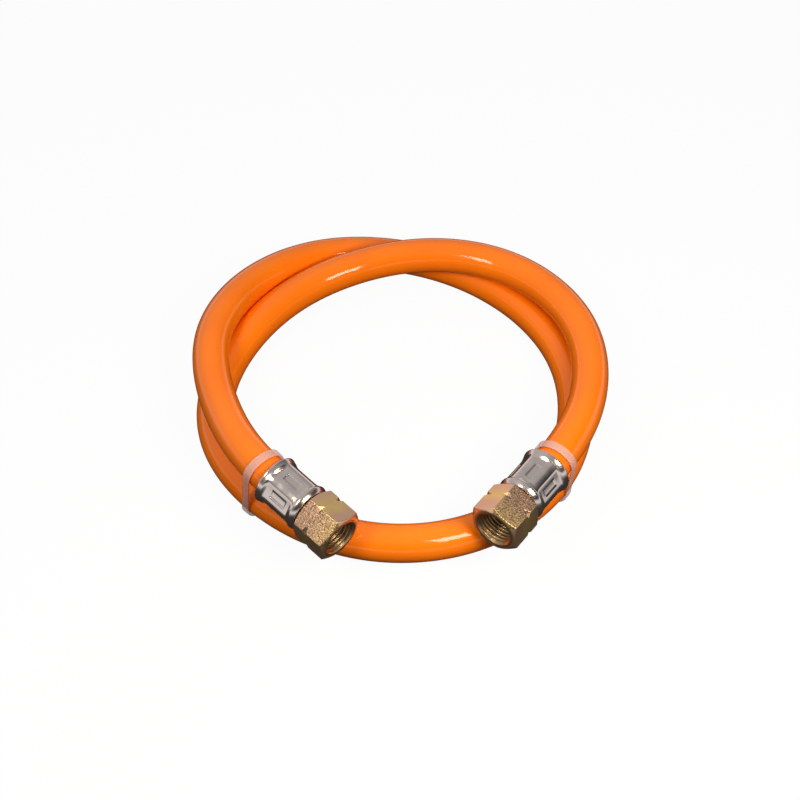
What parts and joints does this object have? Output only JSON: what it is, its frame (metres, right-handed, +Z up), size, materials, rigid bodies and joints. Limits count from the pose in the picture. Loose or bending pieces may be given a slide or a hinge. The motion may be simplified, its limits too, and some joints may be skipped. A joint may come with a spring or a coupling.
{
  "type": "medium-pressure gas hose",
  "caption": "Flexible orange gas hose lying in a loose coil, with a crimped sleeve and a free-turning union nut on each end and thin bands that tie the turns together.",
  "frame": {"origin": "middle of the coil's outline, on the surface that it lies on", "axes": "+Z up out of the coil; the left fitting leaves within 7 degrees of +X and the right fitting within 4 degrees of -Y"},
  "size_m": [0.1631, 0.1575, 0.0346],
  "materials": {
    "hose_rubber": "smooth, semi-gloss orange rubber",
    "tail_brass": "turned",
    "sleeve_zinc": "bright zinc plate, crimped",
    "nut_yellow_zinc": "yellow-chromated zinc plate",
    "band_film": "thin translucent film"
  },
  "bodies": {
    "hose_body": {"hose": "hose_rubber", "hose_tail_right": "tail_brass", "hose_tail_left": "tail_brass", "crimp_sleeve_right": "sleeve_zinc", "crimp_sleeve_left": "sleeve_zinc", "tie_band_right": "band_film", "tie_band_left": "band_film"},
    "right_nut": {"union_nut_right": "nut_yellow_zinc"},
    "left_nut": {"union_nut_left": "nut_yellow_zinc"}
  },
  "joints": [
    {"name": "right_nut_turn", "type": "hinge", "parent": "hose_body", "child": "right_nut", "pos_m": [0.07226, -0.0284, 0.02384], "axis": [0.0645, -0.9979, -0.007], "continuous": true},
    {"name": "left_nut_turn", "type": "hinge", "parent": "hose_body", "child": "left_nut", "pos_m": [0.02947, -0.06927, 0.02296], "axis": [0.993, -0.059, -0.1028], "continuous": true}
  ]
}
